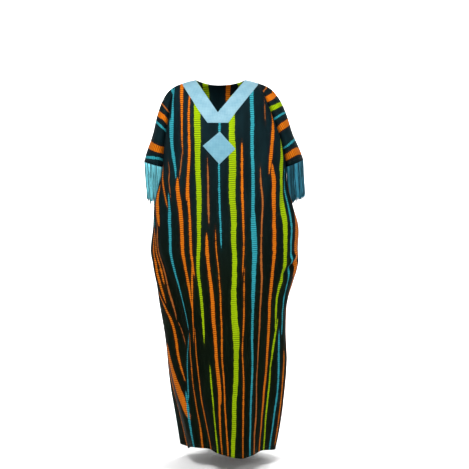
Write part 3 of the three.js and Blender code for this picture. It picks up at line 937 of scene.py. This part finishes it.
def cuff_loop(hand, count):
    """Points evenly spaced round a cuff."""
    around = np.linspace(0, 1, 60)
    front = sleeve_points(hand, 1.0, "front", around)
    back = sleeve_points(hand, 1.0, "back", around)[::-1]
    ring = np.concatenate([front, back[1:]])
    length = row_length(ring)
    places = np.linspace(0, length[-1], count, endpoint=False)
    return np.stack([np.interp(places, length, ring[:, i]) for i in range(3)], 1)


def tube_faces(count, steps, sides):
    """Faces of closed tubes, each made of a number of rings of a number of points."""
    faces = []
    for i in range(count):
        for j in range(steps - 1):
            low = (i * steps + j) * sides
            for k in range(sides):
                after = (k + 1) % sides
                faces.append((low + k, low + sides + k, low + sides + after, low + after))
        first, last = i * steps * sides, (i * steps + steps - 1) * sides
        faces.append(tuple(first + k for k in range(sides)))
        faces.append(tuple(last + k for k in reversed(range(sides))))
    return faces


def tube_piece(name, points, steps, sides):
    """One joined piece of tubes from an array of points in millimetres."""
    faces = tube_faces(len(points) // (steps * sides), steps, sides)
    return smooth_piece(name, (points * MM).tolist(), faces)


def circle(sides):
    """The cosines and sines of a whole turn in even steps."""
    turn = np.arange(sides) * 2 * math.pi / sides
    return np.cos(turn), np.sin(turn)


class KAFTAN_OT_fringe(bpy.types.Operator):
    """Makes the two fringes, each a joined mesh of hanging strands"""

    bl_idname = "kaftan.fringe"
    bl_label = "Fringes"

    def execute(self, context):
        fringe = context.scene.kaftan_fringe
        for name, hand in HANDS.items():
            piece = make_fringe(name, hand, fringe)
            piece.data.materials.append(yarn_material(name, getattr(fringe, name)))
            finish_piece(piece, "fringe_yarn", "fringe_" + name)
        return {"FINISHED"}


def make_fringe(name, hand, fringe):
    """One fringe: layers of strands round the cuff, which gather into tufts toward their feet."""
    hang = HANGING[name]
    chance = np.random.default_rng(hang["seed"])
    count = int(row_length(cuff_loop(hand, CUFF_STEPS))[-1] * MM / fringe.spacing)
    loop = cuff_loop(hand, count)
    outward = loop - loop.mean(axis=0)
    outward[:, 2] = 0
    outward /= np.linalg.norm(outward, axis=1)[:, None]
    paths, tones = [], []
    for layer in range(LAYERS):
        starts = chance.uniform(0, 1, count) < TUFT_CHANCE
        tuft = np.unique(np.cumsum(starts), return_inverse=True)[1]
        tufts = tuft[-1] + 1
        own, shared = UNEVEN["length"]
        lengths = fringe.length / MM * (
            LONGER + hang["uneven"] * own * chance.standard_normal(count)
            + hang["uneven"] * shared * chance.standard_normal(tufts)[tuft])
        phase = chance.uniform(0, 2 * math.pi, (2, count))
        own, shared = UNEVEN["sway"]
        sway = chance.standard_normal((2, count)) * hang["sway"] * own
        sway += chance.standard_normal((2, tufts))[:, tuft] * hang["sway"] * shared
        ends = fringe_points(hand, loop, 1.0, lengths)
        foot = np.array([ends[tuft == g].mean(axis=0) for g in range(tufts)])[tuft]
        first, further, feet = LAYER_INSET
        strands = []
        for down in np.linspace(0, 1, STRAND_STEPS):
            points = fringe_points(hand, loop, down, lengths)
            points[:, :2] += (foot - ends)[:, :2] * hang["tuft"] * down**TUFT_CLOSING
            curl = np.sin(np.array([[CURL["x"]], [CURL["y"]]]) * down + phase) * CURL["reach"]
            points[:, :2] += (sway * down + curl).T * min(1, LOOSE_FROM * down)
            points += outward * (first + further * layer + feet * down)
            points[:, 2] = np.minimum(points[:, 2], loop[:, 2] - FRINGE_DROP)
            body = np.abs(body_side(name, points[:, 1], points[:, 2])) + FRINGE_CLEAR
            points[:, 0] = hand["side"] * np.maximum(np.abs(points[:, 0]), body)
            strands.append(points)
        paths.append(np.stack(strands, 1))
        own, shared = UNEVEN["tone"]
        tones.append(own * chance.uniform(0, 1, count) + shared * chance.uniform(0, 1, tufts)[tuft])
    paths = np.concatenate(paths)
    ring = np.stack([*circle(STRAND_SIDES), np.zeros(STRAND_SIDES)], 1) * (fringe.strand / MM / 2)
    points = (paths[:, :, None, :] + ring[None, None]).reshape(-1, 3)
    piece = tube_piece("strands_" + name, points, STRAND_STEPS, STRAND_SIDES)
    shades = piece.data.attributes.new("strand", "FLOAT", "POINT")
    each = np.repeat(np.concatenate(tones), STRAND_STEPS * STRAND_SIDES)
    shades.data.foreach_set("value", each.astype(np.float32))
    return piece


# ---- Stitches

STITCH_LENGTH = 3.0
STITCH_GAP = 1.7
STITCH_SIDES = 5
# Places along a stitch, and its thickness there
STITCH_SHAPE = columns("place size", (-0.5, 0.4), (-0.3, 1), (0.3, 1), (0.5, 0.4))
TRIM_INSET = 0.07       # share of the band's width from its edge to its stitches
HEM_STITCHES = 16.0     # from the hem's edge up to its stitches
CUFF_STITCHES = 0.955   # share of the sleeve above the stitches of its cuff
# A line of stitches before it is brought to the cloth: how far outside it lies, and where it ends
# at the side seams
HEM_LINE = dict(outside=8, start=0, end=0.97, steps=60)
CUFF_LINE = dict(outside=5, start=0.05, end=0.97, steps=50)


def stitch_line(surface, line):
    """Even stitches along a line of points near a surface: their middles, ways and outsides."""
    line = np.array(line)
    length = row_length(line)
    count = max(1, int(length[-1] / (STITCH_LENGTH + STITCH_GAP)))
    places = (np.arange(count) + 0.5) * length[-1] / count
    found = []
    for place in places:
        ends = []
        for along in (place - STITCH_LENGTH / 4, place + STITCH_LENGTH / 4):
            near = Vector([np.interp(along, length, line[:, i]) for i in range(3)]) * MM
            ends.append(surface.find_nearest(near)[:2])
        (start, normal), (end, _) = ends
        found.append((((start + end) / 2 / MM)[:], (end - start).normalized()[:], normal[:]))
    return found


def make_stitches(name, found, thick, colour):
    """One joined piece of short tubes, one for each stitch that was found a place."""
    places, ways, outs = (np.array(column) for column in zip(*found))
    sides = np.cross(ways, outs)
    sides /= np.linalg.norm(sides, axis=1)[:, None]
    level, up = (part[None, :, None] for part in circle(STITCH_SIDES))
    spokes = sides[:, None] * level + outs[:, None] * up
    rings = [(places + ways * (share * STITCH_LENGTH))[:, None] + spokes * (size * thick / 2)
             for share, size in zip(*STITCH_SHAPE.values())]
    piece = tube_piece(name, np.stack(rings, 1).reshape(-1, 3), len(rings), STITCH_SIDES)
    piece.data.materials.append(thread_material(name, colour))
    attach(piece, "root")
    return piece


def trim_lines():
    """Lines of stitches near the trims' edges, with the piece and side each lies on."""
    band = [("band_front", "front", band_front_outline(hand)[1:]) for hand in HANDS.values()]
    for name, face, rows in (*band, ("band_back", "back", band_back_outline())):
        for share in (TRIM_INSET, 1 - TRIM_INSET):
            yield name, face, [mix(row[0], row[-1], share) for row in rows]
    rows = patch_outline()
    corners = np.array([rows[0][0], rows[0][-1], rows[-1][-1], rows[-1][0], rows[0][0]])
    corners = mix(corners[:4].mean(axis=0), corners, 1 - TRIM_INSET)
    sides = [mixed_row(*ends, PATCH_STEPS // 2) for ends in zip(corners, corners[1:])]
    yield "patch_square", "front", sum(sides, [])


def hem_lines():
    """Lines of stitches above the hem and the cuffs, a little outside the cloth."""
    turns, around = (np.linspace(line["start"], line["end"], line["steps"])
                     for line in (HEM_LINE, CUFF_LINE))
    for name, hand in HANDS.items():
        for face in FACING:
            row = skirt_points(name, hand, face, HEM_Z + HEM_STITCHES, turns)
            out = row - np.array([middle_x(HEM_Z), 0, 0])
            out[:, 2] = 0
            yield row + out / np.linalg.norm(out, axis=1)[:, None] * HEM_LINE["outside"]
            row = sleeve_points(hand, CUFF_STITCHES, face, around)
            yield row + np.array([0, FACING[face] * CUFF_LINE["outside"], 0])


class KAFTAN_OT_stitches(bpy.types.Operator):
    """Makes the stitching"""

    bl_idname = "kaftan.stitches"
    bl_label = "Stitches"

    def execute(self, context):
        cloth = context.scene.kaftan_cloth
        thick = cloth.thread / MM
        piece = bpy.data.objects
        trims = {name: surface_of([piece[name]])
                 for name in ("band_front", "band_back", "patch_square")}
        pale = []
        for name, face, line in trim_lines():
            pale += stitch_line(trims[name], [lay(trims[name], face, x, z, 1.0) for x, z in line])
        panels = surface_of([piece[face + "_cloth"] for face in FACING])
        dark = [stitch for line in hem_lines() for stitch in stitch_line(panels, line)]
        trim_stitches = make_stitches("stitches_trim", pale, thick, cloth.thread_colour)
        hem_stitches = make_stitches("stitches_hem", dark, thick, cloth.dark_thread)
        return {"FINISHED"}


class KAFTAN_OT_stage(bpy.types.Operator):
    """Makes the floor, the lights and the camera"""

    bl_idname = "kaftan.stage"
    bl_label = "Stage"

    def execute(self, context):
        stage = context.scene.kaftan_stage
        add_floor(HEM_Z * MM - stage.floor_drop)
        add_lights(context.scene, stage)
        add_camera(context.scene)
        return {"FINISHED"}


FLOOR = {"hole": 0.001, "reach": 6.5, "bend": 1.8, "top": 5.0, "steps": 12, "sides": 96}
PALE_FLOOR = (0.86, 0.86, 0.86, 1)


def add_floor(height):
    """A round floor that curves up into a wall on every side."""
    bend, flat = FLOOR["bend"], FLOOR["reach"] - FLOOR["bend"]
    profile = [(FLOOR["hole"], 0), (flat, 0)]
    for angle in np.linspace(0, math.pi / 2, FLOOR["steps"] + 1)[1:]:
        profile.append((flat + bend * math.sin(angle), bend * (1 - math.cos(angle))))
    profile.append((FLOOR["reach"], FLOOR["top"]))
    size = len(profile)
    points, faces = [], []
    for i, (x, y) in enumerate(zip(*circle(FLOOR["sides"]))):
        points += [(r * x, r * y, height + rise) for r, rise in profile]
        ring, after = i * size, (i + 1) % FLOOR["sides"] * size
        faces += [(ring + j, after + j, after + j + 1, ring + j + 1) for j in range(size - 1)]
    floor = smooth_piece("floor", points, faces)
    paint = bpy.data.materials.new("pale_floor")
    paint.use_nodes = True
    shader = paint.node_tree.nodes["Principled BSDF"]
    shader.inputs["Base Color"].default_value = PALE_FLOOR
    shader.inputs["Roughness"].default_value = 0.9
    floor.data.materials.append(paint)


# Where each light stands, what it is turned to, its size, and its share of the main light's power
LIGHTS = {
    "key": dict(place=(-0.3, -1.7, 1.05), target=(0, 0, -0.1), size=1.1, share=1.0),
    "side": dict(place=(2.4, -1.2, 0.8), target=(0, 0, -0.4), size=1.0, share=0.3),
    "backdrop": dict(place=(0, 1.3, 2.0), target=(0, 6.5, -0.6), size=2.0, share=8),
    "behind": dict(place=(1.4, 2.6, 1.4), target=(0, 0.1, -0.5), size=1.2, share=0.9),
}


def add_light(name, place, target, size, power):
    light = bpy.data.lights.new(name, "AREA")
    light.shape = "DISK"
    light.size = size
    light.energy = power
    lamp = link(bpy.data.objects.new(name, light))
    lamp.location = place
    lamp.rotation_euler = (Vector(target) - Vector(place)).to_track_quat("-Z", "Y").to_euler()


def add_lights(scene, stage):
    world = bpy.data.worlds.new("even_light")
    world.use_nodes = True
    world.node_tree.nodes["Background"].inputs["Color"].default_value = (1, 1, 1, 1)
    world.node_tree.nodes["Background"].inputs["Strength"].default_value = stage.fill
    scene.world = world
    for name, light in LIGHTS.items():
        power = stage.key * light["share"]
        add_light(name, light["place"], light["target"], light["size"], power)


# The camera stands a little right of the middle, level with the chest, and looks slightly down
CAMERA_PLACE = (0.055, -4.2, -0.2)
CAMERA_TILT = math.radians(5.2)
CAMERA_VIEW = math.radians(23.86)


def add_camera(scene):
    camera = bpy.data.cameras.new("camera")
    camera.sensor_fit = "HORIZONTAL"
    camera.angle = CAMERA_VIEW
    viewer = link(bpy.data.objects.new("camera", camera))
    viewer.location = CAMERA_PLACE
    viewer.rotation_euler = (math.pi / 2 - CAMERA_TILT, 0, 0)
    scene.camera = viewer
    scene.view_settings.view_transform = "Standard"


# ---- Materials


class Value:
    """A shader socket that takes part in Python arithmetic."""

    def __init__(self, shader, socket):
        self.shader, self.socket = shader, socket

    def math(self, operation, *others):
        return self.shader.math(operation, self, *others)

    def __add__(self, other):
        return self.math("ADD", other)

    def __sub__(self, other):
        return self.math("SUBTRACT", other)

    def __rsub__(self, other):
        return self.shader.math("SUBTRACT", other, self)

    def __mul__(self, other):
        return self.math("MULTIPLY", other)

    def __truediv__(self, other):
        return self.math("DIVIDE", other)

    def __abs__(self):
        return self.math("ABSOLUTE")

    __radd__ = __add__

    def highest(self, other):
        return self.math("MAXIMUM", other)

    def lowest(self, other):
        return self.math("MINIMUM", other)

    def clamped(self):
        return self.highest(0.0).lowest(1.0)

    def step(self, low, high):
        """0 below low, 1 above high, smooth between."""
        return self.shader.node("ShaderNodeMapRange", {"interpolation_type": "SMOOTHSTEP"}, {
            "Value": self, "From Min": low, "From Max": high})["Result"]


def rgba(colour, share=1.0):
    """A colour for a socket, with its parts scaled."""
    return (*[part * share for part in colour], 1)


class Shader:
    """A material and the one way its nodes are made."""

    def __init__(self, name):
        self.material = bpy.data.materials.new(name)
        self.material.use_nodes = True
        self.tree = self.material.node_tree
        self.surface = self.tree.nodes["Principled BSDF"]

    def node(self, kind, settings=None, values=None):
        made = self.tree.nodes.new(kind)
        for key, setting in (settings or {}).items():
            setattr(made, key, setting)
        for key, value in (values or {}).items():
            self.feed(made.inputs[key], value)
        return {output.name: Value(self, output) for output in made.outputs if output.enabled}

    def feed(self, socket, value):
        if isinstance(value, Value):
            self.tree.links.new(value.socket, socket)
        else:
            socket.default_value = value

    def math(self, operation, *values):
        made = self.node("ShaderNodeMath", {"operation": operation}, dict(enumerate(values)))
        return made["Value"]

    def blend(self, factor, a, b):
        return self.node("ShaderNodeMix", {"data_type": "RGBA"}, {0: factor, 6: a, 7: b})["Result"]

    def place(self, kind):
        """Coordinates of a kind, as a vector and as its parts."""
        vector = self.node("ShaderNodeTexCoord")[kind]
        return vector, self.node("ShaderNodeSeparateXYZ", {}, {"Vector": vector})

    def uv(self):
        parts = self.place("UV")[1]
        return parts["X"], parts["Y"]

    def noise(self, vector, scale, detail):
        return self.node("ShaderNodeTexNoise", {"noise_dimensions": "3D"}, {
            "Vector": vector, "Scale": scale, "Detail": detail})["Fac"]

    def patches(self, u, v, across, down, detail):
        """Noise over the cut, with this many patches a metre across it and down it."""
        return self.noise(self.point(u * across, v * down), 1.0, detail)

    def wander(self, place, frequency, seed):
        """Three separate slow waves along a place."""
        made = self.node("ShaderNodeTexNoise", {"noise_dimensions": "1D"}, {
            "W": place * frequency + seed, "Scale": 1.0, "Detail": 1.5})
        parts = self.node("ShaderNodeSeparateColor", {}, {"Color": made["Color"]})
        return [parts[part] - 0.5 for part in ("Red", "Green", "Blue")]

    def point(self, x, y):
        return self.node("ShaderNodeCombineXYZ", {}, {"X": x, "Y": y, "Z": 0.0})["Vector"]

    def bump(self, height, strength, distance):
        return self.node("ShaderNodeBump", {}, {
            "Strength": strength, "Distance": distance, "Height": height})["Normal"]

    def finish(self, colour, normal, **sockets):
        self.feed(self.surface.inputs["Base Color"], colour)
        self.feed(self.surface.inputs["Normal"], normal)
        for name, value in sockets.items():
            self.feed(self.surface.inputs[name.replace("_", " ")], value)
        return self.material


HALO = 0.009          # how far a stripe's dark tint spreads past its edge
RAGGED = 0.0042       # how unevenly the bars of a stripe end
TICK = 0.0078         # from one fine cross line to the next
TICK_EDGES = (0.10, 0.26)    # where a cross line is full and where it ends, from its middle
TAPER = 0.10          # how long a stripe's pointed end is
POINT_POWER = 6.0     # how late a stripe thins toward its tip
CORE_EDGE = 0.0007    # how far a stripe's edge blurs
LIME, ORANGE, TURQUOISE, TAN = range(4)    # the colours in the tables of stripes and rings
# How often stripes and rings waver along their way, what sets one row's waves apart from the
# next one's, how far they wander, and how much their width swells
STRIPE_WAVER = dict(often=3.1, apart=17.3, wander=0.026, swell=0.8)
RING_WAVER = dict(often=7.0, apart=11.7, wander=0.022, swell=0.5)
PRINT_SEED = {"front": 0, "back": 500}
# Noise in the print: patches a metre across the cut and down it, and its detail
DRIFT = (6.0, 2.5, 2.0)      # moves the cross lines
BARS = (45.0, 7.3, 0.0)      # sets how far each bar reaches, line by line
WORN = (30.0, 9.0, 3.0)      # wears the cross lines away
DYED = (14.0, 5.0, 3.0)      # lightens the ground
FUZZ = 260.0                 # blurs the edges
DARK_EDGE, DARK_LINE, PALE_GROUND = 0.1, 0.22, 1.7    # shares of a colour


def stripe_inside(row, u, v, wander, swell):
    """How far inside a stripe a place is: negative outside it."""
    at, width, foot, lean, start, end = (
        row[key] * MM for key in ("at", "width", "foot", "lean", "start", "end"))
    slope = (foot - width) / (end - start)
    bend = wander * (STRIPE_WAVER["wander"] * min(1, end - start))
    middle = bend + v * (lean / (-HEM_Z * MM)) + at
    swollen = swell * STRIPE_WAVER["swell"] + 1.0
    half = swollen * (v * slope + (width - start * slope)) * 0.5
    taper = ((v - start) / TAPER).lowest((end - v) / TAPER).clamped()
    fade = (1 - taper).math("POWER", POINT_POWER) * (HALO * 1.8)
    return half * taper.math("SQRT") - fade - abs(u - middle)


def ring_inside(row, u, wander, swell):
    """How far inside a ring of the sleeve a place is."""
    middle = wander * RING_WAVER["wander"] + row["at"] * MM
    return (swell * RING_WAVER["swell"] + 1.0) * (row["width"] * MM / 2) - abs(u - middle)


def wavering(shader, table, place, waver, seed):
    """Each row of a table of stripes or rings, with the two slow waves that it follows."""
    waves = []
    for i in range(len(table["at"])):
        if len(waves) < 2:
            waves += shader.wander(place, waver["often"], waver["apart"] * i + seed)
        yield {key: values[i] for key, values in table.items()}, waves.pop(), waves.pop()


def print_inside(shader, face, u, v):
    """How far inside the nearest stripe or ring of each colour a place is."""
    inside = {}
    for row, wander, swell in wavering(shader, STRIPES[face], v, STRIPE_WAVER, PRINT_SEED[face]):
        gather(inside, int(row["colour"]), stripe_inside(row, u, v, wander, swell))
    body = (v - SLEEVE_V * MM / 2).step(-0.01, 0.01)
    for row, wander, swell in wavering(shader, RINGS, v, RING_WAVER, 0):
        gather(inside, int(row["colour"]), ring_inside(row, u, wander, swell) - body)
    return inside


def print_material(face, cloth):
    """Dark cotton with the printed stripes, their ragged bars and their fine cross lines."""
    shader = Shader(face + "_print")
    u, v = shader.uv()
    inside = print_inside(shader, face, u, v)
    fuzz = shader.noise(shader.point(u, v), FUZZ, 1.0) - 0.5
    slow = shader.patches(u, v, *DRIFT) - 0.5
    bars = (v + u * 0.07) / TICK + slow * 3.0
    ragged = shader.patches(u, bars.math("FLOOR"), *BARS) - 0.5
    tick = 1 - abs(bars.math("FRACT") - 0.5).step(*TICK_EDGES)
    worn = shader.patches(u, v, *WORN).step(0.3, 0.62)
    tick = tick * (worn * 0.55 + 0.45)
    inside = {key: depth + ragged * RAGGED for key, depth in inside.items()}
    colour = cloth_ground(shader, cloth, u, v)
    shades = {TAN: cloth.tan, ORANGE: cloth.orange, LIME: cloth.lime, TURQUOISE: cloth.turquoise}
    for i, shade in shades.items():
        halo = (inside[i] / HALO + 1.0 + fuzz * 1.2).clamped() * (0.3 + tick * 0.7)
        colour = shader.blend(halo * 0.5, colour, rgba(shade, DARK_EDGE))
    for i, shade in shades.items():
        core = (inside[i] / CORE_EDGE + 0.5 + fuzz * 1.2).clamped()
        lines = tick * (0.4 if i == TAN else 0.95)
        marked = shader.blend(lines, rgba(shade), rgba(shade, DARK_LINE))
        colour = shader.blend(core, colour, marked)
    return shader.finish(colour, weave(shader, u, v, 0.00042, 0.16),
                         Roughness=0.84 - worn * 0.08, Specular_IOR_Level=0.045)


def gather(inside, colour, depth):
    """Joins a stripe to the others of its colour."""
    inside[colour] = inside[colour].highest(depth) if colour in inside else depth


LOZENGE = 0.015                     # from one lozenge of the damask to the next
DAMASK_DARK = (0.42, 0.62, 0.70)    # its darkest shade, as shares of its colour's parts


def damask_material(name, tone):
    """Pale blue cotton with a faint woven figure of small lozenges and a mottled shade."""
    shader = Shader(name)
    u, v = shader.uv()
    turn = 2 * math.pi / LOZENGE
    bend = shader.patches(u, v, 30.0, 30.0, 1.0) * 2.4
    figure = (u * turn + bend).math("COSINE") * (v * turn + bend).math("COSINE")
    figure = figure.step(-0.12, 0.12)
    cloud = shader.noise(shader.point(u * 26.0 + 3.0, v * 26.0), 1.0, 3.0).step(0.3, 0.72)
    thread = shader.patches(u, v, 900.0, 120.0, 1.0)
    shade = (figure * 0.16 + cloud * 0.42 + thread * 0.16).clamped()
    dark = [part * share for part, share in zip(tone, DAMASK_DARK)]
    colour = shader.blend(shade, rgba(tone), rgba(dark))
    return shader.finish(colour, weave(shader, u, v, 0.0006, 0.3),
                         Roughness=0.72 - figure * 0.22, Sheen_Weight=0.08, Specular_IOR_Level=0.25)


def yarn_material(name, tone):
    """Twisted yarn, each strand a little lighter or darker than the next."""
    shader = Shader("yarn_" + name)
    strand = shader.node("ShaderNodeAttribute", {"attribute_name": "strand"})["Fac"]
    light = [min(1, part * 1.9 + 0.03) for part in tone]
    colour = shader.blend(strand.step(0.1, 0.9), rgba(tone, 0.22), rgba(light))
    parts = shader.place("Object")[1]
    twist = (parts["Z"] * 2600.0 + strand * 40.0).math("SINE")
    return shader.finish(colour, shader.bump(twist, 0.4, 0.0004),
                         Roughness=0.75, Specular_IOR_Level=0.2)


def thread_material(name, colour):
    """Cotton thread, a little darker here and there."""
    shader = Shader(name)
    place, parts = shader.place("Object")
    tone = shader.blend(shader.noise(place, 400.0, 1.0), rgba(colour, 0.6), rgba(colour))
    twist = ((parts["X"] + parts["Z"]) * 7000.0).math("SINE")
    return shader.finish(tone, shader.bump(twist, 0.3, 0.0002), Roughness=0.7)


def cloth_ground(shader, cloth, u, v):
    """The dark ground: bluer above as a painted sheen, darker toward the hem as painted shade, and
    slightly uneven, as dyed cotton is.
    """
    # painted light: a painted sheen above fades into painted shade toward the hem
    low = v.step(0.15, 0.85)
    base, pale = (shader.blend(low, rgba(cloth.ground, share), rgba(cloth.ground_low_painted_shade, share))
                  for share in (1, PALE_GROUND))
    return shader.blend(shader.patches(u, v, *DYED).step(0.35, 0.7), base, pale)


def weave(shader, u, v, pitch, strength):
    """A plain weave as a bump."""
    turn = 2 * math.pi / pitch
    over = (u * turn).math("SINE") * (v * turn).math("SINE")
    return shader.bump(over, strength, 0.0002)


# ---- The panel in the sidebar, and running it all


class KAFTAN_PT_sidebar(bpy.types.Panel):
    """Lists the kaftan's pieces"""

    bl_idname = "KAFTAN_PT_sidebar"
    bl_label = "Kaftan"
    bl_space_type = "VIEW_3D"
    bl_region_type = "UI"
    bl_category = "Kaftan"

    def draw(self, context):
        for operator in OPERATORS:
            self.layout.operator(operator.bl_idname)


OPERATORS = [
    KAFTAN_OT_panels, KAFTAN_OT_trim, KAFTAN_OT_fringe, KAFTAN_OT_stitches, KAFTAN_OT_stage]
SETTINGS = {"kaftan_cloth": KaftanCloth, "kaftan_fringe": KaftanFringe, "kaftan_stage": KaftanStage}


def register():
    for kind in [*SETTINGS.values(), *OPERATORS, KAFTAN_PT_sidebar]:
        bpy.utils.register_class(kind)
    for name, kind in SETTINGS.items():
        setattr(bpy.types.Scene, name, bpy.props.PointerProperty(type=kind))


def unregister():
    for name in SETTINGS:
        delattr(bpy.types.Scene, name)
    for kind in reversed([*SETTINGS.values(), *OPERATORS, KAFTAN_PT_sidebar]):
        bpy.utils.unregister_class(kind)


def main():
    register()
    for operator in OPERATORS:
        group, name = operator.bl_idname.split(".")
        getattr(getattr(bpy.ops, group), name)()


if __name__ == "__main__":
    main()
